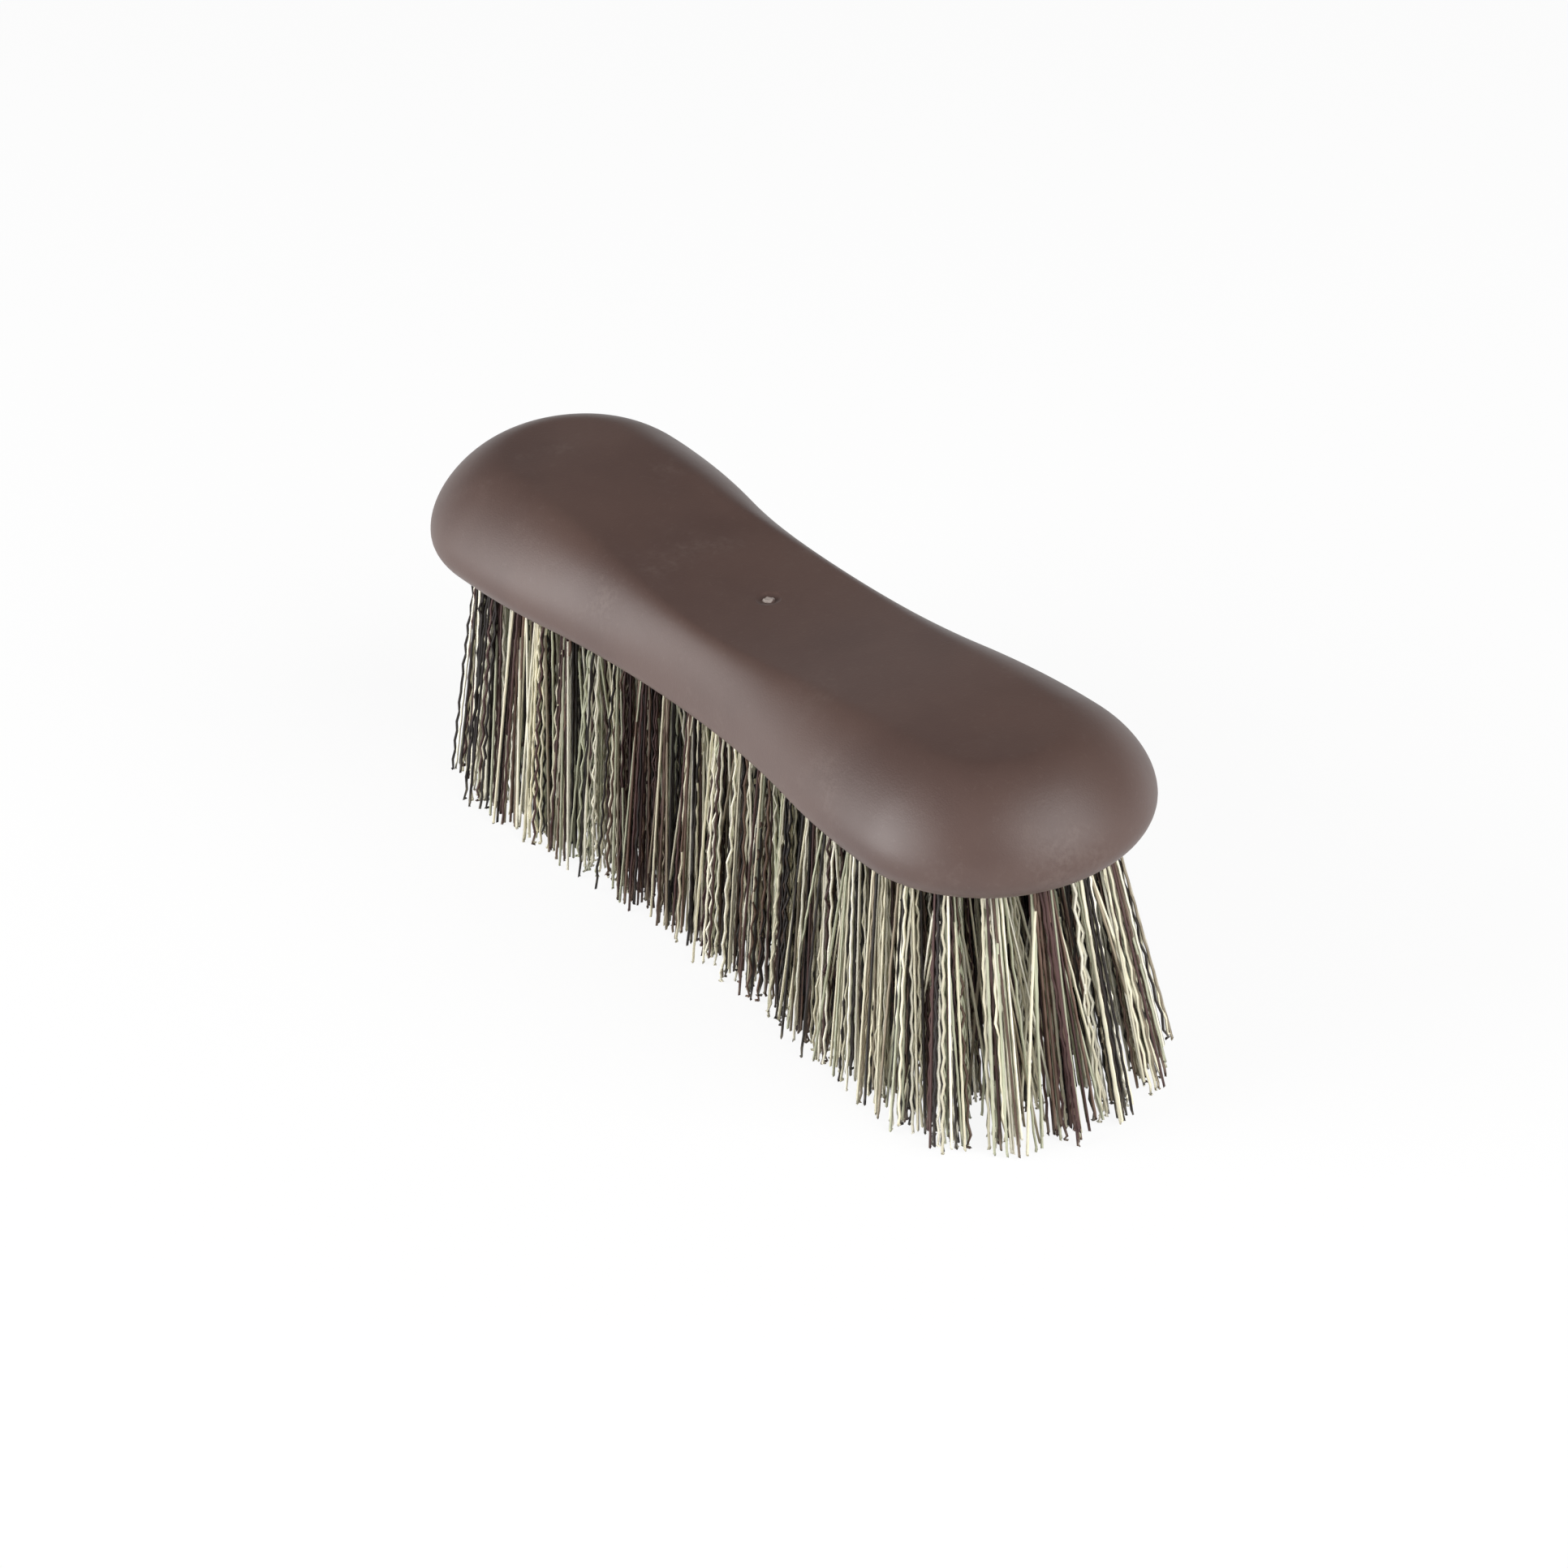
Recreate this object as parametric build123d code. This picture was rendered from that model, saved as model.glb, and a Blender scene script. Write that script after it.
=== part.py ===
"""Dandy brush: a soft-touch back moulded over a bored tuft block, with anchored bristle tufts.

Frame: +X runs along the brush and +Z is up. The bristle tips stand on Z = 0, and the origin is
midway along and across the brush.
"""

import os
from math import cos, degrees, pi, radians, sin, sqrt, tan

from build123d import *

# ---- Sizes, in millimetres and degrees ----

# back, seen from above: half-round ends joined by sides that narrow to a waist
back_length = 205.0
end_radius = 30.0
waist_half_width = 23.0
shoulder_length = 30.0  # from an end's centre to where the side starts to curve the other way

# back, in section, at the waist
waist_crown_height = 17.8  # rim to top
waist_widest_height = 4.0  # rim to the widest line
waist_base_inset = 2.5  # how far the rim lies inside the widest line
waist_shoulder_width = 7.0  # widest line to the edge of the flat top
waist_crown_fullness = 0.46  # 0 is a chamfer, 0.55 is round

# back, in section, at the ends
end_crown_height = 22.4
end_widest_height = 6.4
end_base_inset = 5.4
end_shoulder_width = 17.0
end_crown_fullness = 0.42

rim_height = 1.1  # straight edge at the rim
underside_fullness = 0.5

# soft-touch skin over the tuft block
skin_thickness = 2.0
face_recess = 0.6  # the block's face lies this far up inside the skin's rim
key_radius = 3.0  # skin pegs that lock into the block's top
key_floor = 2.2  # between the pegs and the tuft holes
key_pitch = 24.0
key_count = 5
gate_dimple_radius = 2.6  # where the skin's moulding was gated, in the middle of the top
gate_dimple_depth = 0.5
gate_nub_radius = 1.2
gate_nub_height = 0.4

# tuft holes
hole_radius = 2.4
hole_depth = 10.0
hole_wall = 1.1  # between the outermost holes and the block's edge
land_along = 3.7  # between neighbouring holes, along the brush
land_across = 2.6  # and across it, at the waist

# tufts
bristle_reach = 53.5  # rim to tips
end_lean = 8.0  # outwards
side_lean = 7.5
strands_per_tuft = 4
strand_width = 1.5
strand_grip = 1.5  # how far a strand runs into its folded root
tip_unevenness = 3.0
tip_flat = 0.5  # how much of the longest strands is trimmed flat
root_clearance = 0.08  # around and above the folded root
root_recess = 0.5  # between the folded root and the hole's mouth
fold_radius = 1.5

# flat wire anchors
wire_thickness = 0.45
wire_width = 2.0
wire_bite = 0.4  # into the hole's wall, at each end
wire_cover = 1.0  # fold of the tuft above the wire

# ---- The back's form ----

end_centre = back_length / 2 - end_radius


def end_share(x):
    """0 at the waist, 1 from the ends' centres outwards."""
    return (1 - cos(pi * min(abs(x) / end_centre, 1))) / 2


def between(waist_size, end_size, x):
    return waist_size + (end_size - waist_size) * end_share(x)


def half_width(x):
    """Half the widest width, between the ends' centres: two arcs that meet in a tangent."""
    waist_length = end_centre - shoulder_length
    drop = end_radius - waist_half_width
    shoulder_drop = drop * shoulder_length / end_centre
    waist_drop = drop - shoulder_drop
    shoulder_arc = (shoulder_length**2 + shoulder_drop**2) / (2 * shoulder_drop)
    waist_arc = (waist_length**2 + waist_drop**2) / (2 * waist_drop)
    if abs(x) > waist_length:
        return end_radius - shoulder_arc + sqrt(shoulder_arc**2 - (end_centre - abs(x)) ** 2)
    return waist_half_width + waist_arc - sqrt(waist_arc**2 - x**2)


def side_edges(x, skin, place):
    """One side of the section at x, upwards: rim, underside curve and crown curve."""
    widest_across = half_width(x) - skin
    rim_across = widest_across - between(waist_base_inset, end_base_inset, x)
    top_across = half_width(x) - between(waist_shoulder_width, end_shoulder_width, x)
    widest_up = between(waist_widest_height, end_widest_height, x)
    top_up = between(waist_crown_height, end_crown_height, x) - skin
    under_run = (widest_across - rim_across) * underside_fullness
    under_rise = (widest_up - rim_height) * underside_fullness
    crown_fullness = between(waist_crown_fullness, end_crown_fullness, x)
    crown_run = (widest_across - top_across) * crown_fullness
    crown_rise = (top_up - widest_up) * crown_fullness
    rim_top = place(rim_across, rim_height)
    widest = place(widest_across, widest_up)
    below_rim = -rim_height  # trimmed off at the floor
    return [
        Line(place(rim_across, below_rim), rim_top),
        Bezier(
            rim_top,
            place(rim_across + under_run, rim_height),
            place(widest_across, widest_up - under_rise),
            widest,
        ),
        Bezier(
            widest,
            place(widest_across, widest_up + crown_rise),
            place(top_across + crown_run, top_up),
            place(top_across, top_up),
        ),
    ]


def full_section(x, skin):
    right = side_edges(x, skin, lambda across, up: (x, across, bristle_reach + up))
    left = side_edges(x, skin, lambda across, up: (x, -across, bristle_reach + up))
    top = Line(right[-1] @ 1, left[-1] @ 1)
    base = Line(left[0] @ 0, right[0] @ 0)
    return Wire([*right, top, *left, base])


def end_section(skin):
    """Half of the section at an end's centre, standing on the end's vertical axis."""
    x = end_centre
    side = side_edges(x, skin, lambda across, up: (x, -across, bristle_reach + up))
    axis_top = (x, 0, (side[-1] @ 1).Z)
    axis_foot = (x, 0, (side[0] @ 0).Z)
    top = Line(side[-1] @ 1, axis_top)
    base = Line(axis_foot, side[0] @ 0)
    return Face(Wire([*side, top, Line(axis_top, axis_foot), base]))


def back_solid(skin, floor):
    """The back's form, a skin's thickness inside its surface, cut flat at the floor's height."""
    stations = 15
    step = 2 * end_centre / (stations - 1)
    middle = Solid.make_loft([full_section(-end_centre + step * n, skin) for n in range(stations)])
    end = revolve(end_section(skin), axis=Axis((end_centre, 0, 0), (0, 0, 1)), revolution_arc=180)
    whole = middle + end + mirror(end, about=Plane.YZ)
    below = Pos(0, 0, floor - back_length / 2) * Box(2 * back_length, back_length, back_length)
    return whole - below


# ---- Where the tufts stand, and which way they lean ----

face_height = bristle_reach + face_recess
tuft_margin = skin_thickness + hole_wall + hole_radius  # from the rim to the outermost tufts
pitch_along = 2 * hole_radius + land_along
pitch_across = 2 * hole_radius + land_across
end_reach = end_radius - end_base_inset - tuft_margin


def row_reach(x):
    """How far from the middle line the outermost tufts of a row stand."""
    return half_width(x) - between(waist_base_inset, end_base_inset, x) - tuft_margin


def rows_across():
    """Straight rows of tufts between the ends' centres."""
    gaps_along = int(2 * end_centre / pitch_along)
    gaps_across = int(2 * row_reach(0) / pitch_across)
    rows = []
    for n in range(gaps_along + 1):
        x = end_centre * (2 * n / gaps_along - 1)
        rows.append([(x, row_reach(x) * (2 * m / gaps_across - 1)) for m in range(gaps_across + 1)])
    return rows


def end_fan(side):
    """Half rings of tufts round an end, outside the last straight row."""
    places = []
    rings = int(end_reach / pitch_across)
    for ring in range(rings):
        radius = end_reach * (rings - ring) / rings
        gaps = int(pi * radius / pitch_along)
        for n in range(1, gaps):
            turn = pi * (n / gaps - 1 / 2)
            places.append((side * (end_centre + radius * cos(turn)), radius * sin(turn)))
    return places


def lean(x, y):
    """How far a tuft moves outwards for each millimetre that it goes down."""
    along = tan(radians(end_lean)) * (x / (end_centre + end_reach)) ** 3
    reach = row_reach(x) if abs(x) < end_centre else end_reach
    return along, tan(radians(side_lean)) * y / reach


def tuft_plane(x, y):
    """At the mouth of a tuft's hole, with its Z up the hole."""
    along, across = lean(x, y)
    return Plane(origin=(x, y, face_height), x_dir=(1, 0, along), z_dir=(-along, -across, 1))


# ---- Pieces ----


def tuft_hole(x, y):
    mouth_overrun = hole_radius
    length = hole_depth + mouth_overrun
    return tuft_plane(x, y) * Pos(0, 0, length / 2 - mouth_overrun) * Cylinder(hole_radius, length)


def tuft_anchor(x, y):
    length = 2 * (hole_radius + wire_bite)
    depth = hole_depth - root_clearance - wire_cover - wire_width / 2
    return tuft_plane(x, y) * Pos(0, 0, depth) * Box(wire_thickness, length, wire_width)


def scatter(number):
    """An even, repeatable spread of values from 0 to 1."""
    return number * (sqrt(5) - 1) / 2 % 1


def strand(x, y, turn, number):
    """A three-sided strand from its tuft's folded root to its own trimmed height."""
    along, across = lean(x, y)
    thickness = strand_width / sqrt(3)
    root_spread = hole_radius - root_clearance - thickness
    tip_spread = pitch_along / 4 * sqrt(2)  # tips of one tuft and the next are evenly apart
    root_up = root_recess + strand_grip
    tip_height = max(0.0, tip_unevenness * scatter(number) - tip_flat)
    tip_down = face_height - tip_height
    root = Vector(
        x - along * root_up + root_spread * cos(turn),
        y - across * root_up + root_spread * sin(turn),
        face_height + root_up,
    )
    tip = Vector(
        x + along * tip_down + tip_spread * cos(turn),
        y + across * tip_down + tip_spread * sin(turn),
        tip_height,
    )
    section = Pos(tip) * RegularPolygon(thickness, 3, rotation=degrees(turn))
    return Solid.extrude(section.face(), root - tip)


def tuft(x, y, first_number):
    length = hole_depth - root_recess - root_clearance
    root = Cylinder(hole_radius - root_clearance, length)
    root = fillet(root.edges().sort_by(Axis.Z)[-1], fold_radius)
    root = tuft_plane(x, y) * Pos(0, 0, root_recess + length / 2) * root
    strands = []
    for n in range(strands_per_tuft):
        turn = 2 * pi * (n + 0.5) / strands_per_tuft
        strands.append(strand(x, y, turn, first_number + n))
    return root.solid().fuse(*strands) - tuft_anchor(x, y)


def key_holes():
    """Blind holes in the block's top, which the moulded skin fills with its pegs."""
    floor = face_height + hole_depth + key_floor
    length = bristle_reach + end_crown_height - floor
    holes = []
    for n in range(key_count):
        x = key_pitch * (n - (key_count - 1) / 2)
        holes.append(Pos(x, 0, floor + length / 2) * Cylinder(key_radius, length))
    return holes


def gate_mark():
    """The dimple round the broken gate, and the nub that the gate left in it."""
    floor = bristle_reach + waist_crown_height - gate_dimple_depth
    dimple = Cylinder(gate_dimple_radius, 2 * gate_dimple_depth)
    nub = Cylinder(gate_nub_radius, 2 * gate_nub_height)
    return Pos(0, 0, floor + gate_dimple_depth) * dimple, Pos(0, 0, floor) * nub


def save(solids, name):
    export_step(Compound(solids), f"parts/{name}.step")
    print(name, len(solids), "solids")


os.makedirs("parts", exist_ok=True)

rows = rows_across()
groups = {f"tuft_row_{n + 1:02d}": row for n, row in enumerate(rows)}
groups["end_tufts_left"] = end_fan(-1)
groups["end_tufts_right"] = end_fan(1)
places = [place for group in groups.values() for place in group]
print(len(places), "tufts,", len(places) * strands_per_tuft, "strands")

keys = key_holes()
dimple, nub = gate_mark()
skin_core = back_solid(skin_thickness, bristle_reach) - keys
grip_skin = back_solid(0, bristle_reach) - skin_core - dimple + nub
save(grip_skin.solids(), "grip_skin")

anchors = [tuft_anchor(x, y).solid() for x, y in places]
holes = [tuft_hole(x, y) for x, y in places]
tuft_block = back_solid(skin_thickness, face_height) - keys - holes - anchors
save(tuft_block.solids(), "tuft_block")
save(anchors, "tuft_anchors")

strands_made = 0
for name, group in groups.items():
    tufts = []
    for x, y in group:
        tufts.append(tuft(x, y, strands_made).solid())
        strands_made += strands_per_tuft
    save(tufts, name)
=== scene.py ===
import math
from random import Random

import bpy
from mathutils import Matrix, Vector


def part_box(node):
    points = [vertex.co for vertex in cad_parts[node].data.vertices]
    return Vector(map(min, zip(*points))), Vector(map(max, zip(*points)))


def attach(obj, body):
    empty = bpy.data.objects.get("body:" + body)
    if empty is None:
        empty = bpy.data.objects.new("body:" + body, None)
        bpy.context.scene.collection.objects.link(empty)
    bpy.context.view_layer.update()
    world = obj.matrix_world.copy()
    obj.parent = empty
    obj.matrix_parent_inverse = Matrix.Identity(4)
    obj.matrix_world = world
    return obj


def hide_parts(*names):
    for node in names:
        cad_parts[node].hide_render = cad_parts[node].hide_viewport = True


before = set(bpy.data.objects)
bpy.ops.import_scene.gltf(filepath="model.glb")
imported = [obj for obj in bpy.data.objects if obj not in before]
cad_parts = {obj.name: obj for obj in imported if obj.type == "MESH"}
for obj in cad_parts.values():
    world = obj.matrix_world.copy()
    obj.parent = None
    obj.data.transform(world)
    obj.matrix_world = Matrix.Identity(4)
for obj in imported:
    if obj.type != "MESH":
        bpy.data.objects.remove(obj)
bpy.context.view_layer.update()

# the back's outline, rim height and end height come from the frame
skinLow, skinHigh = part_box("grip_skin")


# Node trees, for materials and Geometry Nodes alike

class Value:
    # one output of a node; Python's operators on it add Math nodes
    def __init__(self, tree, socket):
        self.tree = tree
        self.socket = socket

    def out(self, name):
        return Value(self.tree, self.socket.node.outputs[name])

    def math(self, operation, *terms):
        return self.tree.add("ShaderNodeMath", {"operation": operation}, dict(enumerate(terms)))

    def __add__(self, other):
        return self.math("ADD", self, other)

    def __radd__(self, other):
        return self.math("ADD", other, self)

    def __sub__(self, other):
        return self.math("SUBTRACT", self, other)

    def __rsub__(self, other):
        return self.math("SUBTRACT", other, self)

    def __mul__(self, other):
        return self.math("MULTIPLY", self, other)

    def __rmul__(self, other):
        return self.math("MULTIPLY", other, self)

    def __neg__(self):
        return self.math("MULTIPLY", self, -1)

    def __truediv__(self, other):
        return self.math("DIVIDE", self, other)

    def __pow__(self, other):
        return self.math("POWER", self, other)

    def __mod__(self, other):
        return self.math("FLOORED_MODULO", self, other)

    def __lt__(self, other):
        return self.math("LESS_THAN", self, other)

    def sine(self):
        return self.math("SINE", self)

    def cosine(self):
        return self.math("COSINE", self)

    def root(self):
        return self.math("SQRT", self)

    def atMost(self, high):
        return self.math("MINIMUM", self, high)

    def within(self, low, high):
        return self.math("MAXIMUM", self, low).atMost(high)

    def fade(self, start, end):
        # 0 below start, 1 above end, smooth between
        sockets = {"Value": self, "From Min": start, "From Max": end}
        return self.tree.add("ShaderNodeMapRange", {"interpolation_type": "SMOOTHSTEP"}, sockets)


class Tree:
    def __init__(self, nodeTree):
        self.nodeTree = nodeTree

    def add(self, kind, settings=None, sockets=None, output=None):
        # settings are set first, then the sockets' values or links
        node = self.nodeTree.nodes.new(kind)
        for name, value in (settings or {}).items():
            if name == "stops":
                fillRamp(node.color_ramp, value)
            else:
                setattr(node, name, value)
        for name, value in (sockets or {}).items():
            target = findSocket(node.inputs, name)
            if isinstance(value, Value):
                self.nodeTree.links.new(value.socket, target)
            else:
                target.default_value = value
        return Value(self, findSocket(node.outputs, output))

    def vector(self, operation, *terms):
        output = "Value" if operation in ("LENGTH", "DOT_PRODUCT") else "Vector"
        return self.add("ShaderNodeVectorMath", {"operation": operation}, dict(enumerate(terms)), output)

    def scaled(self, vector, factor):
        return self.add("ShaderNodeVectorMath", {"operation": "SCALE"}, {0: vector, "Scale": factor})

    def joined(self, x, y, z):
        return self.add("ShaderNodeCombineXYZ", {}, {"X": x, "Y": y, "Z": z})

    def axis(self, vector, name):
        return self.add("ShaderNodeSeparateXYZ", {}, {"Vector": vector}, name)

    def mixed(self, factor, first, second):
        settings = {"data_type": "RGBA", "clamp_factor": True}
        return self.add("ShaderNodeMix", settings, {"Factor": factor, "A": first, "B": second}, "Result")

    def place(self):
        return self.add("ShaderNodeTexCoord", {}, {}, "Object")

    def noise(self, place, scale, detail, roughness):
        sockets = {"Vector": place, "Scale": scale, "Detail": detail, "Roughness": roughness}
        return self.add("ShaderNodeTexNoise", {}, sockets, "Fac")

    def bumped(self, strength, depth, height):
        sockets = {"Strength": strength, "Distance": depth, "Height": height}
        return self.add("ShaderNodeBump", {}, sockets, "Normal")

    def named(self, name, kind="FLOAT"):
        sockets = {"Name": name}
        return self.add("GeometryNodeInputNamedAttribute", {"data_type": kind}, sockets, "Attribute")

    def keep(self, geometry, name, value, kind="FLOAT"):
        settings = {"data_type": kind, "domain": "POINT"}
        sockets = {"Geometry": geometry, "Name": name, "Value": value}
        return self.add("GeometryNodeStoreNamedAttribute", settings, sockets, "Geometry")


def findSocket(sockets, name):
    if isinstance(name, int):
        return sockets[name]
    live = [socket for socket in sockets if socket.enabled]
    return live[0] if name is None else next(socket for socket in live if socket.name == name)


def fillRamp(ramp, stops):
    while len(ramp.elements) < len(stops):
        ramp.elements.new(1.0)
    for element, (position, colour) in zip(ramp.elements, stops):
        element.position = position
        element.color = colour


def shade(red, green, blue):
    # a colour given in sRGB steps of 0 to 255, as a linear value
    def linear(step):
        share = step / 255
        return share / 12.92 if share <= 0.04045 else ((share + 0.055) / 1.055) ** 2.4
    return (linear(red), linear(green), linear(blue), 1.0)


def newMaterial(name, fixed):
    # a material whose fixed sockets hold one value all over, and its tree
    material = bpy.data.materials.new(name)
    material.use_nodes = True
    tree = Tree(material.node_tree)
    surface = material.node_tree.nodes["Principled BSDF"]
    for socketName, value in fixed.items():
        surface.inputs[socketName].default_value = value
    return material, tree, surface


def feed(tree, surface, varying):
    for socketName, value in varying.items():
        tree.nodeTree.links.new(value.socket, surface.inputs[socketName])


# Materials

softTouch = {
    "brown": shade(87, 68, 62),
    "darkBrown": shade(80, 62, 57),
    "bloom": shade(104, 88, 82),  # dusty, handled patches
    "bloomShare": 0.5,
    "speckShare": 0.18,
    "gateGrey": shade(158, 147, 141),
    "gateGreyShare": 0.9,
    "gateShadow": shade(58, 47, 44),
    "gateShadowShare": 0.35,
    # a painted highlight: the pale line of light along the rim's foot
    "rimPaintedHighlight": shade(172, 162, 150),
    "rimPaintedHighlightShare": 0.5,
    "rimPaintedHighlightHeights": (0.0002, 0.0007),  # above the rim's foot: the painted highlight is full below the first height and gone above the second
    "ragged": 0.0006,  # how far the edges of the marks wander
    "patchScale": 26.0,
    "rubbedScale": 57.2,
    "speckScale": 900.0,
    "grainScale": 2600.0,
    "grainStrength": 0.22,
    "grainDepth": 0.0002,
    "roughness": 0.46,
    "roughnessSpread": 0.22,
    "nubPolish": 0.1,
}


def softTouchMaterial(dimpleRadius, nubRadius):
    material, tree, surface = newMaterial("softTouchBrown", {
        "Sheen Weight": 0.03, "Sheen Roughness": 0.4, "Specular IOR Level": 0.5})
    place = tree.place()
    patches = tree.noise(place, softTouch["patchScale"], 4.0, 0.55)
    specks = tree.noise(place, softTouch["speckScale"], 3.0, 0.6)
    grain = tree.noise(place, softTouch["grainScale"], 2.0, 0.5)
    rubbed = tree.noise(place, softTouch["rubbedScale"], 5.0, 0.65)
    colour = tree.mixed(patches.fade(0.35, 0.65), softTouch["brown"], softTouch["darkBrown"])
    dusty = rubbed.fade(0.52, 0.78) * specks.fade(0.35, 0.6)
    colour = tree.mixed(dusty * softTouch["bloomShare"], colour, softTouch["bloom"])
    colour = tree.mixed(specks.fade(0.58, 0.72) * softTouch["speckShare"], colour, softTouch["bloom"])
    # the broken gate in the middle of the top, with ragged edges
    wander = (specks - 0.5) * softTouch["ragged"]
    fromGate = tree.vector("LENGTH", tree.vector("MULTIPLY", place, (1.0, 1.0, 0.0))) + wander
    inDimple = 1 - fromGate.fade(dimpleRadius * 0.55, dimpleRadius * 1.15)
    onNub = 1 - fromGate.fade(nubRadius * 0.8, nubRadius * 1.05)
    colour = tree.mixed(inDimple * softTouch["gateShadowShare"], colour, softTouch["gateShadow"])
    colour = tree.mixed(onNub * softTouch["gateGreyShare"], colour, softTouch["gateGrey"])
    # the rim's foot, painted pale where it meets the bristles: a painted highlight for the light that its
    # edge catches
    fullHighlightBelow, noHighlightAbove = softTouch["rimPaintedHighlightHeights"]
    foot = 1 - (tree.axis(place, "Z") + wander).fade(skinLow.z + fullHighlightBelow, skinLow.z + noHighlightAbove)
    colour = tree.mixed(foot * softTouch["rimPaintedHighlightShare"], colour, softTouch["rimPaintedHighlight"])
    rough = softTouch["roughness"] + (rubbed - 0.5) * softTouch["roughnessSpread"]
    rough = rough - onNub * softTouch["nubPolish"]
    bump = tree.bumped(softTouch["grainStrength"], softTouch["grainDepth"], grain * 0.6 + specks * 0.4)
    feed(tree, surface, {"Base Color": colour, "Roughness": rough, "Normal": bump})
    return material


filamentFinish = {
    # where along the tone scale each colour starts
    "tones": [
        (0.00, shade(247, 243, 224)),  # ivory
        (0.20, shade(228, 222, 196)),  # cream
        (0.38, shade(190, 192, 166)),  # sage
        (0.52, shade(150, 138, 118)),  # taupe
        (0.58, shade(104, 82, 70)),  # brown
        (0.65, shade(76, 52, 50)),  # aubergine
        (0.78, shade(34, 26, 24)),  # near black
    ],
    "darkTones": (0.6, 0.8),  # the part of the scale that the dark filaments of a tuft take
    "dust": shade(196, 186, 164),
    "dustShare": 0.35,
    "dustHeight": 0.008,  # up from the tips
    "streakScales": (900.0, 900.0, 260.0),
    "streakSpread": 0.44,
    "streakStrength": 0.15,
    "streakDepth": 0.0001,
    "roughness": 0.42,
    "roughnessSpread": 0.2,
}


def filamentMaterial():
    material, tree, surface = newMaterial("crimpedFilament", {"Specular IOR Level": 0.45})
    tone = tree.add("ShaderNodeAttribute", {"attribute_name": "tone"}, {}, "Fac")
    fading = tree.add("ShaderNodeAttribute", {"attribute_name": "fading"}, {}, "Fac")
    place = tree.place()
    streaks = tree.noise(tree.vector("MULTIPLY", place, filamentFinish["streakScales"]), 1.0, 3.0, 0.6)
    spread = filamentFinish["streakSpread"]
    colour = tree.add("ShaderNodeValToRGB", {"stops": filamentFinish["tones"]}, {"Fac": tone}, "Color")
    colour.socket.node.color_ramp.interpolation = "CONSTANT"
    brightness = fading * (1 - spread / 2 + streaks * spread)
    colour = tree.add("ShaderNodeHueSaturation", {}, {"Color": colour, "Value": brightness})
    lowDown = 1 - tree.axis(place, "Z").fade(0.0, filamentFinish["dustHeight"])
    scuffed = lowDown * streaks.fade(0.45, 0.65) * filamentFinish["dustShare"]
    colour = tree.mixed(scuffed, colour, filamentFinish["dust"])
    rough = filamentFinish["roughness"] + streaks * filamentFinish["roughnessSpread"]
    bump = tree.bumped(filamentFinish["streakStrength"], filamentFinish["streakDepth"], streaks)
    feed(tree, surface, {"Base Color": colour, "Roughness": rough, "Normal": bump})
    return material


blockFinish = {
    "brown": shade(74, 64, 60),
    "paleBrown": shade(90, 79, 74),
    "flowScale": 60.0,
    "grainScale": 1800.0,
    "grainStrength": 0.15,
    "grainDepth": 0.0002,
    "roughness": 0.5,
    "roughnessSpread": 0.2,
}


def blockMaterial():
    material, tree, surface = newMaterial("tuftBlockPlastic", {})
    place = tree.place()
    flow = tree.noise(place, blockFinish["flowScale"], 4.0, 0.6)
    grain = tree.noise(place, blockFinish["grainScale"], 2.0, 0.5)
    colour = tree.mixed(flow.fade(0.3, 0.7), blockFinish["brown"], blockFinish["paleBrown"])
    rough = blockFinish["roughness"] + (flow - 0.5) * blockFinish["roughnessSpread"]
    bump = tree.bumped(blockFinish["grainStrength"], blockFinish["grainDepth"], grain)
    feed(tree, surface, {"Base Color": colour, "Roughness": rough, "Normal": bump})
    return material


wireFinish = {
    "steel": shade(168, 164, 158),
    "dullSteel": shade(128, 122, 114),
    "drawnScales": (300.0, 300.0, 4000.0),
    "drawnStrength": 0.1,
    "drawnDepth": 0.0001,
    "roughness": 0.28,
    "roughnessSpread": 0.25,
}


def wireMaterial():
    material, tree, surface = newMaterial("anchorWire", {"Metallic": 1.0})
    drawn = tree.noise(tree.vector("MULTIPLY", tree.place(), wireFinish["drawnScales"]), 1.0, 3.0, 0.6)
    colour = tree.mixed(drawn.fade(0.3, 0.7), wireFinish["steel"], wireFinish["dullSteel"])
    rough = wireFinish["roughness"] + drawn * wireFinish["roughnessSpread"]
    bump = tree.bumped(wireFinish["drawnStrength"], wireFinish["drawnDepth"], drawn)
    feed(tree, surface, {"Base Color": colour, "Roughness": rough, "Normal": bump})
    return material


# The back's form: half-round ends, sides that narrow to a waist, a flat crown that dips between the ends

back = {
    "waistHalfWidth": 0.0230,
    "shoulderLength": 0.030,  # from an end's centre to where the side starts to curve the other way
    "waistCrown": 0.0178,  # rim to top
    "waistWidest": 0.0040,  # rim to the widest line
    "waistInset": 0.0025,  # how far the rim lies inside the widest line
    "waistShoulder": 0.0070,  # widest line to the edge of the flat top
    "waistFullness": 0.46,  # of the crown's curve: 0 is a chamfer, 0.55 is round
    "endWidest": 0.0064,
    "endInset": 0.0054,
    "endShoulder": 0.0170,
    "endFullness": 0.42,
    "rimHeight": 0.0011,
    "rimRounding": 0.0004,
    "undersideFullness": 0.5,
    "skinThickness": 0.002,
    "dimpleRadius": 0.0026,
    "dimpleDepth": 0.0005,
    "nubRadius": 0.0012,
    "nubHeight": 0.0004,
    "stationsPerSide": 96,
    "stationsPerEnd": 56,
    "roundingSteps": 3,
    "undersideSteps": 10,
    "crownSteps": 22,
    "topSteps": 9,
    "gateSteps": 18,
    "gateReach": 1.3,  # the finer steps round the gate mark go this many dimple radii out
}

endRadius = skinHigh.y
endCentre = skinHigh.x - endRadius
endCrown = skinHigh.z - skinLow.z
rimLevel = skinLow.z
gateZone = back["dimpleRadius"] * back["gateReach"]


def between(waistSize, endSize, x):
    endShare = (1 - math.cos(math.pi * min(abs(x) / endCentre, 1))) / 2
    return waistSize + (endSize - waistSize) * endShare


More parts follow.
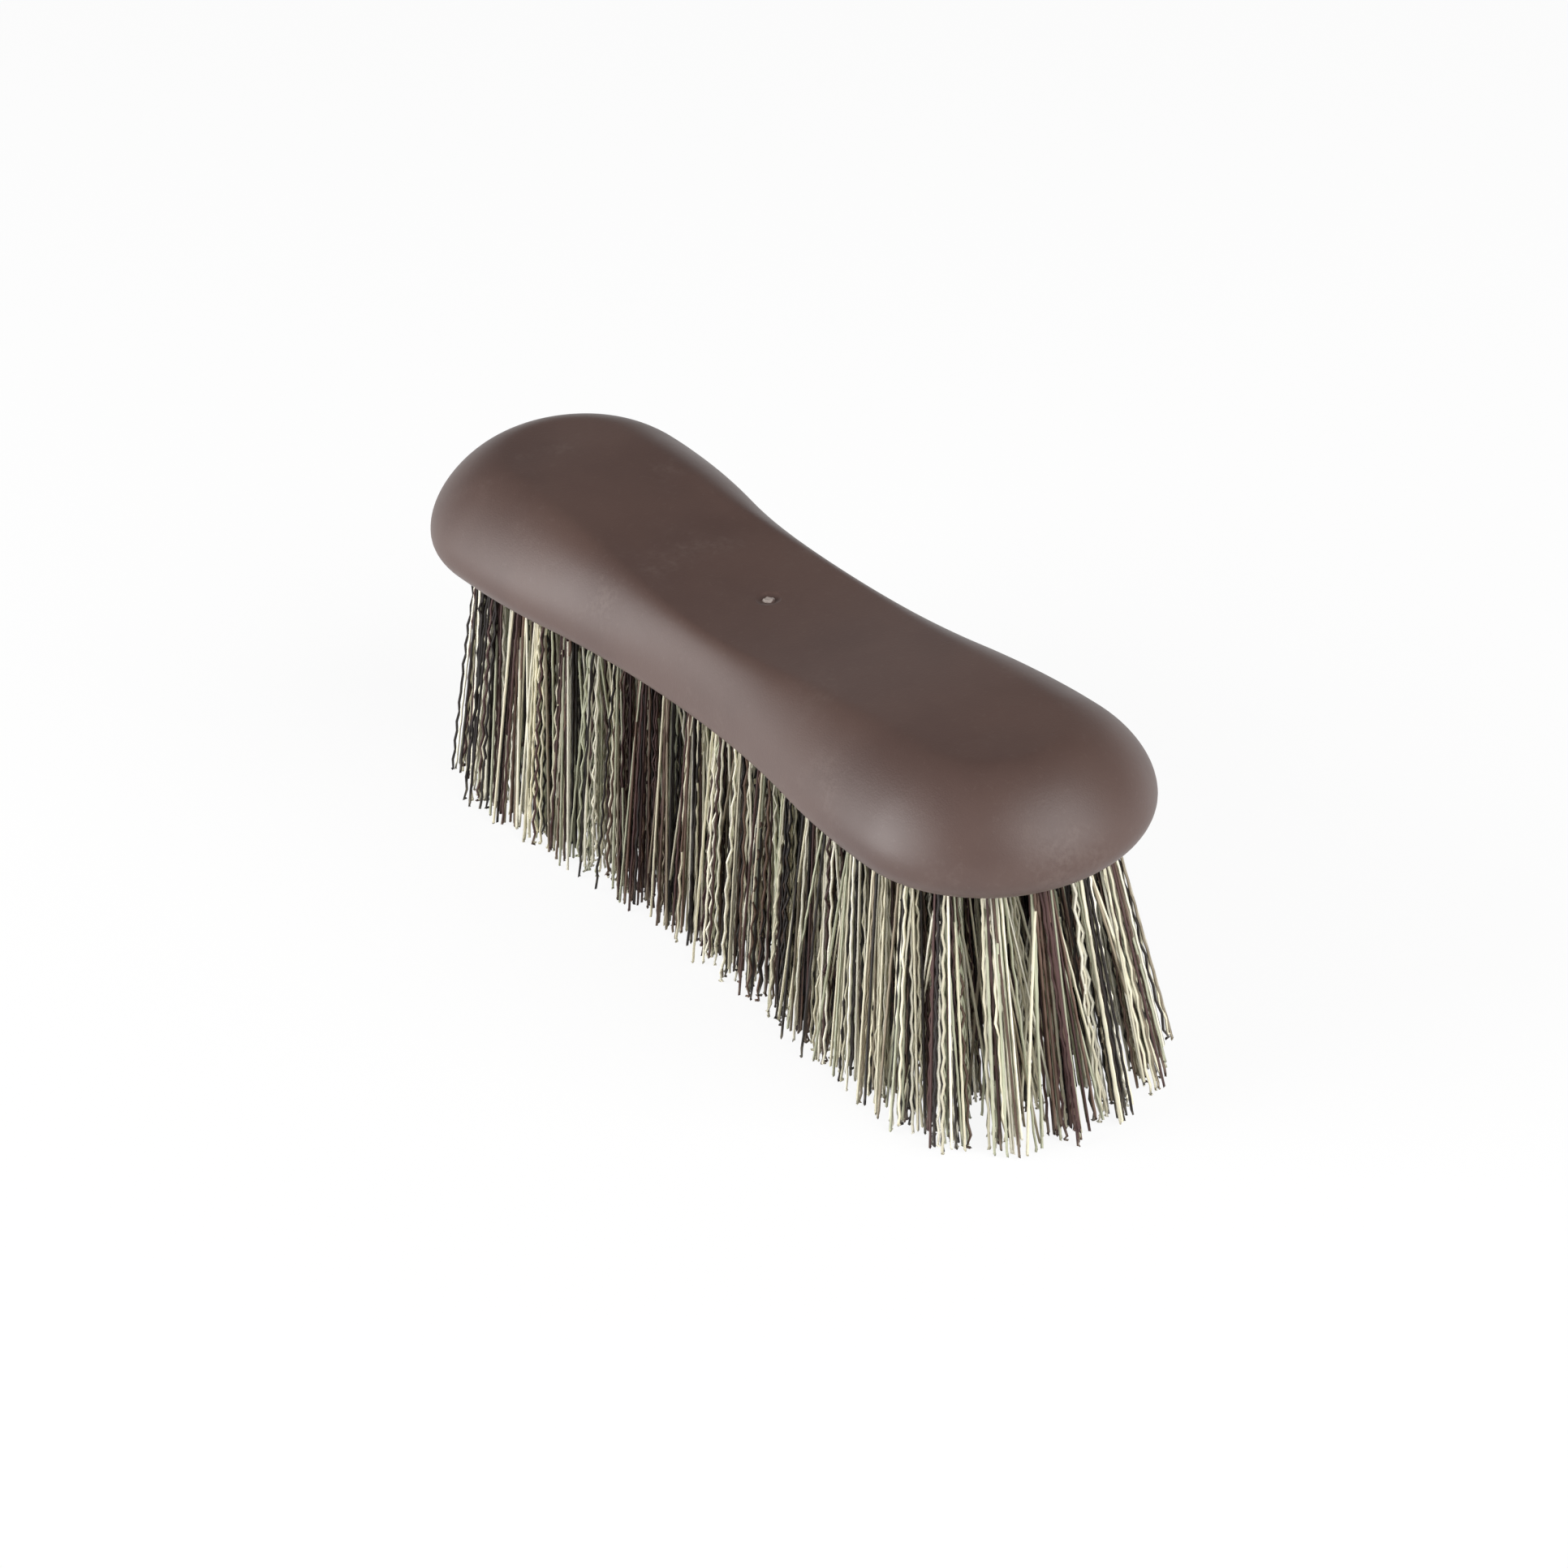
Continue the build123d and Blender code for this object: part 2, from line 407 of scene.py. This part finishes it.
def halfWidth(x):
    # two arcs that meet in a tangent, between the ends' centres
    waistLength = endCentre - back["shoulderLength"]
    drop = endRadius - back["waistHalfWidth"]
    shoulderDrop = drop * back["shoulderLength"] / endCentre
    waistDrop = drop - shoulderDrop
    shoulderArc = (back["shoulderLength"] ** 2 + shoulderDrop ** 2) / (2 * shoulderDrop)
    waistArc = (waistLength ** 2 + waistDrop ** 2) / (2 * waistDrop)
    if abs(x) > waistLength:
        return endRadius - shoulderArc + math.sqrt(shoulderArc ** 2 - (endCentre - abs(x)) ** 2)
    return back["waistHalfWidth"] + waistArc - math.sqrt(waistArc ** 2 - x ** 2)


def bezier(start, startPull, endPull, end, steps):
    # points after the start, up to the end
    points = []
    for step in range(1, steps + 1):
        t = step / steps
        weights = ((1 - t) ** 3, 3 * t * (1 - t) ** 2, 3 * t ** 2 * (1 - t), t ** 3)
        points.append(tuple(sum(w * p[axis] for w, p in zip(weights, (start, startPull, endPull, end)))
                            for axis in (0, 1)))
    return points


def rimFoot(rimAcross, inward):
    # the small rounding under the rim, from its foot out to its upright side
    rounding, steps = back["rimRounding"], back["roundingSteps"]
    turns = [math.pi / 2 * step / steps for step in range(steps + 1)]
    return [(rimAcross - inward * rounding * (1 - math.sin(turn)), rounding * (1 - math.cos(turn)))
            for turn in turns]


def sideProfile(x, skin):
    # (across, up) from the rim's foot to the edge of the flat top, this far inside the outer skin
    widestAcross = halfWidth(x) - skin
    rimAcross = widestAcross - between(back["waistInset"], back["endInset"], x)
    topAcross = halfWidth(x) - between(back["waistShoulder"], back["endShoulder"], x)
    widestUp = between(back["waistWidest"], back["endWidest"], x)
    topUp = between(back["waistCrown"], endCrown, x) - skin
    rimUp = back["rimHeight"]
    underRun = (widestAcross - rimAcross) * back["undersideFullness"]
    underRise = (widestUp - rimUp) * back["undersideFullness"]
    crownFullness = between(back["waistFullness"], back["endFullness"], x)
    crownRun = (widestAcross - topAcross) * crownFullness
    crownRise = (topUp - widestUp) * crownFullness
    rimTop = (rimAcross, rimUp)
    widest = (widestAcross, widestUp)
    top = (topAcross, topUp)
    underside = bezier(rimTop, (rimAcross + underRun, rimUp), (widestAcross, widestUp - underRise),
                       widest, back["undersideSteps"])
    crown = bezier(widest, (widestAcross, widestUp + crownRise), (topAcross + crownRun, topUp),
                   top, back["crownSteps"])
    return [*rimFoot(rimAcross, 1 if skin == 0 else -1), rimTop, *underside, *crown]


def crownAcross(topAcross):
    # from the edge of the flat top in to the middle line, finer round the gate mark
    topSteps, gateSteps = back["topSteps"], back["gateSteps"]
    coarse = [topAcross + (gateZone - topAcross) * step / topSteps for step in range(1, topSteps + 1)]
    fine = [gateZone * (1 - step / gateSteps) for step in range(1, gateSteps)]
    return [*coarse, *fine, 0.0]


def gateHeight(x, y):
    # the shallow dish round the broken gate, and in it the nub, ragged in outline and torn on top
    distance = math.hypot(x, y)
    dish = 1 - min(distance / back["dimpleRadius"], 1) ** 3
    turn = math.atan2(y, x)
    nubEdge = back["nubRadius"] * (1 + 0.12 * math.sin(2 * turn + 0.6) + 0.07 * math.sin(5 * turn))
    rise = min(max((nubEdge - distance) / (0.25 * back["nubRadius"]), 0), 1)
    tear = 1 + 0.35 * x / back["nubRadius"] + 0.2 * math.sin(y * 6000)
    return back["nubHeight"] * rise ** 2 * (3 - 2 * rise) * tear - back["dimpleDepth"] * dish


def stations():
    # (x, outward direction) once round the outline, anticlockwise from the right-hand end of the +Y side
    perSide, perEnd, gateSteps = back["stationsPerSide"], back["stationsPerEnd"], back["gateSteps"]
    coarse = {round(endCentre * (1 - 2 * n / perSide), 6) for n in range(perSide + 1)}
    fine = {round(gateZone * n / gateSteps, 6) for n in range(-gateSteps, gateSteps + 1)}
    side = sorted(coarse | fine, reverse=True)[:-1]
    arc = [math.pi * n / perEnd - math.pi / 2 for n in range(perEnd)]
    places = [(x, (0, 1)) for x in side]
    places += [(-endCentre, (-math.cos(turn), -math.sin(turn))) for turn in arc]
    places += [(-x, (0, -1)) for x in side]
    places += [(endCentre, (math.cos(turn), math.sin(turn))) for turn in arc]
    return places


def buildBack():
    vertices, faces, known = [], [], {}

    def vertex(point):
        key = tuple(round(value, 8) for value in point)
        if key not in known:
            known[key] = len(vertices)
            vertices.append(point)
        return known[key]

    def ring(x, outward, skin):
        # one station's vertices, from the rim's foot up and over to the middle line
        profile = sideProfile(x, skin)
        topAcross, topUp = profile[-1]
        points = []
        for across, up in profile + [(across, topUp) for across in crownAcross(topAcross)]:
            px = x + outward[0] * across
            py = outward[1] * across
            lift = gateHeight(px, py) if skin == 0 and up == topUp else 0
            points.append(vertex((px, py, rimLevel + up + lift)))
        return points

    feet = []
    for skin in (0, back["skinThickness"]):
        rings = [ring(x, outward, skin) for x, outward in stations()]
        for here, there in zip(rings, rings[1:] + rings[:1]):
            for low in range(len(here) - 1):
                corners = [here[low], there[low], there[low + 1], here[low + 1]]
                corners = [c for i, c in enumerate(corners) if c not in corners[:i]]
                if len(corners) > 2:
                    faces.append(corners if skin == 0 else corners[::-1])
        feet.append([points[0] for points in rings])
    # the underside of the rim, between the outer skin's foot and the inner's
    outer, inner = feet
    for n in range(len(outer)):
        faces.append([outer[n], outer[n - 1], inner[n - 1], inner[n]])
    mesh = bpy.data.meshes.new("gripSkinMoulding")
    mesh.from_pydata(vertices, [], faces)
    mesh.validate()
    mesh.shade_smooth()
    piece = bpy.data.objects.new("gripSkinMoulding", mesh)
    bpy.context.scene.collection.objects.link(piece)
    mesh.materials.append(softTouchMaterial(back["dimpleRadius"], back["nubRadius"]))
    return piece


gripSkin = buildBack()
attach(gripSkin, "root")
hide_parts("grip_skin")
print("back:", len(gripSkin.data.polygons), "faces")


# The tufts: where their holes are, which way they lean, and the filaments in each

tufts = {
    "faceRecess": 0.0006,  # the block's face lies this far up inside the rim
    "margin": 0.0055,  # from the rim in to the outermost tufts
    "pitchAlong": 0.0085,
    "pitchAcross": 0.0074,
    "endLean": 8.0,
    "sideLean": 7.5,
    "aubergineTufts": 0.095,  # share of tufts that are nearly all aubergine
    "aubergineShare": 0.88,  # of dark filaments in those tufts
    "darkShare": 0.2,  # of dark filaments in the others, at most
    "mixSeed": 314,
}

filaments = {
    "Filaments Per Tuft": 38,
    "Root Radius": 0.0020,
    "Tip Radius": 0.0040,
    "Root Depth": 0.002,
    "Thickness": 0.00064,
    "Bends": 25,  # points along each filament
    "Wave Length": 0.0048,
    "Wave Height": 0.00029,
    "Crimped Share": 0.7,
    "Least Crimp": 0.15,
    "Crimp Start": 0.004,  # the crimp grows to its full height over this length
    "Scatter": 0.0017,
    "Stray Share": 0.18,
    "Stray Scatter": 0.0085,
    "Stray Hold": 0.9,  # how much of a stray's outward drift is taken away
    "Stray Paleness": 0.42,  # the strays are mostly the pale ones
    "Least Trim": 0.00045,
    "Trim": 0.0040,
    "Side Limit": 0.0307,  # of the tips, from the middle line
    "Clumps": 750.0,  # patches of one colour, for each metre
    "Clumped Share": 0.2,
}

goldenTurn = 2.39996  # spreads a tuft's filaments evenly over its round mouth
faceLevel = rimLevel + tufts["faceRecess"]
endReach = endRadius - back["endInset"] - tufts["margin"]
pathNames = ("lean", "turn", "aubergineShare", "rootPlace", "tipDrift", "crimpWay", "phase", "stretch",
             "trim", "girth")  # kept on the points only to make the filaments' paths


def rowReach(x):
    return halfWidth(x) - between(back["waistInset"], back["endInset"], x) - tufts["margin"]


def gapsIn(length, pitch):
    return int(length / pitch + 1e-6)


def straightRows():
    gapsAlong = gapsIn(2 * endCentre, tufts["pitchAlong"])
    gapsAcross = gapsIn(2 * rowReach(0), tufts["pitchAcross"])
    rows = []
    for n in range(gapsAlong + 1):
        x = endCentre * (2 * n / gapsAlong - 1)
        rows.append([(x, rowReach(x) * (2 * m / gapsAcross - 1)) for m in range(gapsAcross + 1)])
    return rows


def endFan(side):
    places = []
    rings = gapsIn(endReach, tufts["pitchAcross"])
    for ring in range(rings):
        radius = endReach * (rings - ring) / rings
        gaps = gapsIn(math.pi * radius, tufts["pitchAlong"])
        for n in range(1, gaps):
            turn = math.pi * (n / gaps - 1 / 2)
            places.append((side * (endCentre + radius * math.cos(turn)), radius * math.sin(turn)))
    return places


def lean(x, y):
    along = math.tan(math.radians(tufts["endLean"])) * (x / (endCentre + endReach)) ** 3
    reach = rowReach(x) if abs(x) < endCentre else endReach
    return along, math.tan(math.radians(tufts["sideLean"])) * y / reach


def chance(size, low, high, draw):
    # a random value for each point, its own for each numbered draw
    sockets = {"Min": low, "Max": high, "Seed": size["Seed"] + draw}
    return size["Seed"].tree.add("FunctionNodeRandomValue", {"data_type": "FLOAT"}, sockets)


def filamentTone(tree, size, rootPlace, stray):
    # mixed, with clumps of one colour, and dark where the tuft is an aubergine one
    clump = tree.add("ShaderNodeTexVoronoi", {}, {"Vector": rootPlace, "Scale": size["Clumps"]}, "Color")
    clumped = chance(size, 0.0, 1.0, 7) < size["Clumped Share"]
    dark = chance(size, 0.0, 1.0, 8) < tree.named("aubergineShare")
    mixed = clumped * tree.axis(clump, "X") + (1 - clumped) * chance(size, 0.0, 1.0, 10)
    tone = dark * chance(size, *filamentFinish["darkTones"], 9) + (1 - dark) * mixed
    return tone * (1 - stray * size["Stray Paleness"])


def filamentPoints(tree, mouths, size):
    # a point at the root of each filament, with all that its path needs kept on it
    copies = tree.add("GeometryNodeDuplicateElements", {"domain": "POINT"},
                      {"Geometry": mouths, "Amount": size["Filaments Per Tuft"]}, "Geometry")
    number = copies.out("Duplicate Index")
    mouth = tree.add("GeometryNodeInputPosition")
    leanAway = tree.named("lean", "FLOAT_VECTOR")
    turn = number * goldenTurn + tree.named("turn")
    reach = ((number + 0.5) / size["Filaments Per Tuft"]).root()
    outward = tree.joined(turn.cosine(), turn.sine(), 0.0)
    rootPlace = tree.vector("ADD", mouth, tree.scaled(outward, reach * size["Root Radius"]))
    fanned = tree.scaled(outward, reach * (size["Tip Radius"] - size["Root Radius"]))

    # strays cross their neighbours, but keep from going further out than their tuft leans
    stray = chance(size, 0.0, 1.0, 1) < size["Stray Share"]
    drift = size["Scatter"] + stray * size["Stray Scatter"]
    astray = tree.joined(chance(size, -1.0, 1.0, 2) * drift, chance(size, -1.0, 1.0, 3) * drift, 0.0)
    leanWay = tree.vector("NORMALIZE", leanAway)
    outwards = tree.vector("DOT_PRODUCT", astray, leanWay).within(0.0, 1.0) * stray
    astray = tree.vector("ADD", astray, tree.scaled(leanWay, outwards * -size["Stray Hold"]))

    # no tip strays out past the side of the brush
    tipDrift = tree.vector("ADD", fanned, astray)
    sideways = tree.axis(tree.vector("ADD", rootPlace, tree.scaled(leanAway, faceLevel)), "Y")
    tipAcross = (sideways + tree.axis(tipDrift, "Y")).within(-size["Side Limit"], size["Side Limit"])
    tipDrift = tree.joined(tree.axis(tipDrift, "X"), tipAcross - sideways, 0.0)

    bend = tree.named("turn") + chance(size, -0.7, 0.7, 4)
    crimped = (chance(size, 0.0, 1.0, 5) < size["Crimped Share"]) * (1 - stray)
    crimp = size["Wave Height"] * (size["Least Crimp"] + crimped * chance(size, 0.4, 1.0, 6))
    points = tree.keep(copies, "rootPlace", rootPlace, "FLOAT_VECTOR")
    points = tree.keep(points, "tipDrift", tipDrift, "FLOAT_VECTOR")
    crimpWay = tree.joined(bend.cosine() * crimp, bend.sine() * crimp, 0.0)
    points = tree.keep(points, "crimpWay", crimpWay, "FLOAT_VECTOR")
    points = tree.keep(points, "phase", chance(size, 0.0, 0.6, 11) + tree.named("turn"))
    points = tree.keep(points, "stretch", chance(size, 0.92, 1.4, 16))
    # most filaments are cut near full length
    trim = size["Least Trim"] + chance(size, 0.0, 1.0, 12) ** 2.2 * size["Trim"]
    points = tree.keep(points, "trim", trim)
    points = tree.keep(points, "girth", chance(size, 0.82, 1.12, 13))
    points = tree.keep(points, "tone", filamentTone(tree, size, rootPlace, stray))
    return tree.keep(points, "fading", chance(size, 0.72, 1.2, 14))


def filamentPath(tree, size, step):
    # the place of one bend: the lean, the drift, and the crimp from side to side
    last = 1 - (step < size["Bends"] - 1)
    length = size["Root Depth"] + faceLevel - tree.named("trim")
    phase = tree.named("phase") % 1.0
    inner = (step - 1 + phase) * tree.named("stretch") * (size["Wave Length"] / 2)
    down = (1 - last) * inner.atMost(length) + last * length - size["Root Depth"]
    share = (down / faceLevel).within(0.0, 1.0)
    unevenness = chance(size, 0.2, 1.75, 15)
    side = ((step % 2) * 2 - 1) * unevenness * (down / size["Crimp Start"]).within(0.0, 1.0)
    leanAway = tree.named("lean", "FLOAT_VECTOR")
    path = tree.vector("ADD", tree.named("rootPlace", "FLOAT_VECTOR"), tree.scaled(leanAway, down))
    path = tree.vector("ADD", path, tree.scaled(tree.named("tipDrift", "FLOAT_VECTOR"), share ** 0.9))
    path = tree.vector("ADD", path, tree.scaled(tree.named("crimpWay", "FLOAT_VECTOR"), side))
    return tree.vector("ADD", path, tree.joined(0.0, 0.0, -down))


def filamentCurves(tree, points, size):
    # one line stands on every point, and its bends then follow that point's own path
    line = tree.add("GeometryNodeCurvePrimitiveLine", {"mode": "POINTS"}, {"End": (0.0, 0.0, -0.05)})
    counted = {"Curve": line, "Count": size["Bends"]}
    line = tree.add("GeometryNodeResampleCurve", {"mode": "COUNT"}, counted, "Curve")
    placed = {"Points": points, "Instance": line}
    copies = tree.add("GeometryNodeInstanceOnPoints", {}, placed, "Instances")
    curves = tree.add("GeometryNodeRealizeInstances", {}, {"Geometry": copies}, "Geometry")
    path = filamentPath(tree, size, tree.add("GeometryNodeSplineParameter", output="Index"))
    moved = {"Geometry": curves, "Position": path}
    curves = tree.add("GeometryNodeSetPosition", {}, moved, "Geometry")
    widened = {"Curve": curves, "Radius": tree.named("girth")}
    return tree.add("GeometryNodeSetCurveRadius", {}, widened, "Curve")


def filamentTree(material):
    # each point given is a tuft's mouth; its filaments run down from there in short straight bends
    group = bpy.data.node_groups.new("filamentTufts", "GeometryNodeTree")
    tree = Tree(group)
    group.interface.new_socket(name="Tufts", in_out="INPUT", socket_type="NodeSocketGeometry")
    for name, value in filaments.items():
        kind = "NodeSocketInt" if isinstance(value, int) else "NodeSocketFloat"
        group.interface.new_socket(name=name, in_out="INPUT", socket_type=kind).default_value = value
    group.interface.new_socket(name="Seed", in_out="INPUT", socket_type="NodeSocketInt")
    group.interface.new_socket(name="Filaments", in_out="OUTPUT", socket_type="NodeSocketGeometry")
    mouths = tree.add("NodeGroupInput", output="Tufts")
    size = {name: mouths.out(name) for name in [*filaments, "Seed"]}
    curves = filamentCurves(tree, filamentPoints(tree, mouths, size), size)
    outline = tree.add("GeometryNodeCurvePrimitiveCircle", {"mode": "RADIUS"},
                       {"Resolution": 3, "Radius": size["Thickness"] / 2}, "Curve")
    swept = {"Curve": curves, "Profile Curve": outline, "Fill Caps": True}
    tubes = tree.add("GeometryNodeCurveToMesh", {}, swept, "Mesh")
    real = tree.add("GeometryNodeRealizeInstances", {}, {"Geometry": tubes}, "Geometry")
    painted = tree.add("GeometryNodeSetMaterial", {}, {"Geometry": real, "Material": material}, "Geometry")
    result = group.nodes.new("NodeGroupOutput")
    group.links.new(painted.socket, result.inputs["Filaments"])
    return group


def tuftPoints(name, places, seed):
    # a node's tuft mouths, with each tuft's lean, turn and share of dark filaments
    chooser = Random(tufts["mixSeed"] + seed)
    mesh = bpy.data.meshes.new(name)
    mesh.from_pydata([(x, y, faceLevel) for x, y in places], [], [])
    leans = [value for x, y in places for value in (*lean(x, y), 0.0)]
    turns = [chooser.uniform(0, 2 * math.pi) for place in places]
    shares = [tufts["aubergineShare"] if chooser.random() < tufts["aubergineTufts"]
              else chooser.uniform(0.0, tufts["darkShare"]) for place in places]
    mesh.attributes.new("lean", "FLOAT_VECTOR", "POINT").data.foreach_set("vector", leans)
    mesh.attributes.new("turn", "FLOAT", "POINT").data.foreach_set("value", turns)
    mesh.attributes.new("aubergineShare", "FLOAT", "POINT").data.foreach_set("value", shares)
    source = bpy.data.objects.new(name + "Points", mesh)
    bpy.context.scene.collection.objects.link(source)
    return source


def buildTufts(name, places, seed, group):
    # a node's tufts as one plain mesh
    source = tuftPoints(name, places, seed)
    modifier = source.modifiers.new("filaments", "NODES")
    modifier.node_group = group
    for socket in group.interface.items_tree:
        if socket.in_out == "INPUT" and socket.name in filaments:
            modifier[socket.identifier] = filaments[socket.name]
        elif socket.name == "Seed":
            modifier[socket.identifier] = seed * 100
    evaluated = source.evaluated_get(bpy.context.evaluated_depsgraph_get())
    plain = bpy.data.meshes.new_from_object(evaluated)
    bpy.data.objects.remove(source)
    for attributeName in pathNames:
        plain.attributes.remove(plain.attributes[attributeName])
    plain.shade_smooth()
    piece = bpy.data.objects.new(name, plain)
    bpy.context.scene.collection.objects.link(piece)
    return piece


def pieceName(node):
    first, *rest = node.split("_")
    return first + "".join(word.capitalize() for word in rest) + "Filaments"


nodePlaces = {f"tuft_row_{n + 1:02d}": row for n, row in enumerate(straightRows())}
nodePlaces["end_tufts_left"] = endFan(-1)
nodePlaces["end_tufts_right"] = endFan(1)
bristleTree = filamentTree(filamentMaterial())
faceCount = 0
for seed, (node, places) in enumerate(nodePlaces.items()):
    piece = buildTufts(pieceName(node), places, seed, bristleTree)
    faceCount += len(piece.data.polygons)
    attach(piece, "root")
    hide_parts(node)
print("tufts:", sum(len(places) for places in nodePlaces.values()), "with", faceCount, "faces")


# Pieces shown as they come from the frame

for node, material in (("tuft_block", blockMaterial()), ("tuft_anchors", wireMaterial())):
    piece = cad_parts[node]
    piece.data.materials.clear()
    piece.data.materials.append(material)
print("block and anchors painted")


# Stage: a pale floor, soft light from low in front, and the camera

stage = {
    "floorHalf": 6.0,
    "floorColour": (0.9, 0.9, 0.9, 1.0),
    "floorGlow": 0.9,  # how much of the floor's white is its own
    "skyColour": (1.0, 0.99, 0.97, 1.0),
    "horizonLevel": 0.6,  # the sky's light, low down and overhead
    "zenithLevel": 0.1,
    "skyFade": (0.0, 0.9),  # sines of the heights between which the sky's light falls
    "backdropFade": (0.0, 0.3),  # the same for the white backdrop, which ends in the dark
    "aim": (0.00911, -0.00581, 0.0357),
    "azimuth": 58.34,
    "elevation": 31.26,
    "distance": 0.9303,
    "roll": 4.96,
    "lens": 109.35,
    "sensor": 36.0,
}

lamps = {
    # name: azimuth, elevation, distance, size, watts
    "keyBox": (-22.0, 18.0, 1.2, 1.0, 19.0),
    "frontBox": (105.0, 34.0, 1.3, 1.1, 18.5),
}

white = (1.0, 1.0, 1.0, 1.0)


def direction(azimuth, elevation):
    a, e = math.radians(azimuth), math.radians(elevation)
    return Vector((math.sin(a) * math.cos(e), -math.cos(a) * math.cos(e), math.sin(e)))


def cameraRaysOnly(tree, seen, otherwise):
    # the white backdrop is what the camera and glossy rays see; it adds no light
    path = tree.add("ShaderNodeLightPath", output="Is Camera Ray")
    seenBy = path.math("MAXIMUM", path, path.out("Is Glossy Ray"))
    seenBy = path.math("MAXIMUM", seenBy, path.out("Is Transmission Ray"))
    return tree.add("ShaderNodeMixShader", {}, {0: seenBy, 1: otherwise, 2: seen})


def buildWorld():
    world = bpy.data.worlds.new("studio")
    bpy.context.scene.world = world
    world.use_nodes = True
    tree = Tree(world.node_tree)
    height = tree.axis(tree.add("ShaderNodeTexCoord", {}, {}, "Generated"), "Z")
    backdropLevel = 1 - height.fade(*stage["backdropFade"])
    backdrop = tree.add("ShaderNodeBackground", {}, {"Color": white, "Strength": backdropLevel})
    overhead = height.fade(*stage["skyFade"]) * (stage["zenithLevel"] - stage["horizonLevel"])
    skyLevel = stage["horizonLevel"] + overhead
    sky = tree.add("ShaderNodeBackground", {}, {"Color": stage["skyColour"], "Strength": skyLevel})
    mix = cameraRaysOnly(tree, backdrop, sky)
    world.node_tree.links.new(mix.socket, world.node_tree.nodes["World Output"].inputs["Surface"])


def floorMaterial():
    fixed = {"Base Color": stage["floorColour"], "Roughness": 1.0}
    material, tree, surface = newMaterial("paleFloor", fixed)
    diffuse = Value(tree, surface.outputs[0])
    glow = tree.add("ShaderNodeEmission", {}, {"Color": white, "Strength": 1.0})
    pale = tree.add("ShaderNodeMixShader", {}, {0: stage["floorGlow"], 1: diffuse, 2: glow})
    mix = cameraRaysOnly(tree, pale, diffuse)
    tree.nodeTree.links.new(mix.socket, tree.nodeTree.nodes["Material Output"].inputs["Surface"])
    return material


def buildFloor():
    half = stage["floorHalf"]
    corners = [(-half, -half, 0), (half, -half, 0), (half, half, 0), (-half, half, 0)]
    mesh = bpy.data.meshes.new("floor")
    mesh.from_pydata(corners, [], [(0, 1, 2, 3)])
    mesh.materials.append(floorMaterial())
    floor = bpy.data.objects.new("floor", mesh)
    bpy.context.scene.collection.objects.link(floor)


def buildLamps():
    for name, (azimuth, elevation, distance, size, watts) in lamps.items():
        light = bpy.data.lights.new(name, "AREA")
        light.size = size
        light.energy = watts
        lamp = bpy.data.objects.new(name, light)
        towards = direction(azimuth, elevation)
        lamp.location = Vector(stage["aim"]) + towards * distance
        lamp.rotation_euler = towards.to_track_quat("Z", "Y").to_euler()
        bpy.context.scene.collection.objects.link(lamp)


def buildCamera():
    towards = direction(stage["azimuth"], stage["elevation"])
    azimuth = math.radians(stage["azimuth"])
    level = Vector((math.cos(azimuth), math.sin(azimuth), 0))
    upright = towards.cross(level)
    roll = math.radians(stage["roll"])
    right = level * math.cos(roll) - upright * math.sin(roll)
    up = level * math.sin(roll) + upright * math.cos(roll)
    data = bpy.data.cameras.new("camera")
    data.lens = stage["lens"]
    data.sensor_width = stage["sensor"]
    camera = bpy.data.objects.new("camera", data)
    turned = Matrix((right, up, towards)).transposed().to_4x4()
    camera.matrix_world = Matrix.Translation(Vector(stage["aim"]) + towards * stage["distance"]) @ turned
    bpy.context.scene.collection.objects.link(camera)
    bpy.context.scene.camera = camera


bpy.context.scene.view_settings.view_transform = "Standard"
buildWorld()
buildFloor()
buildLamps()
buildCamera()
print("stage, lamps and camera set")
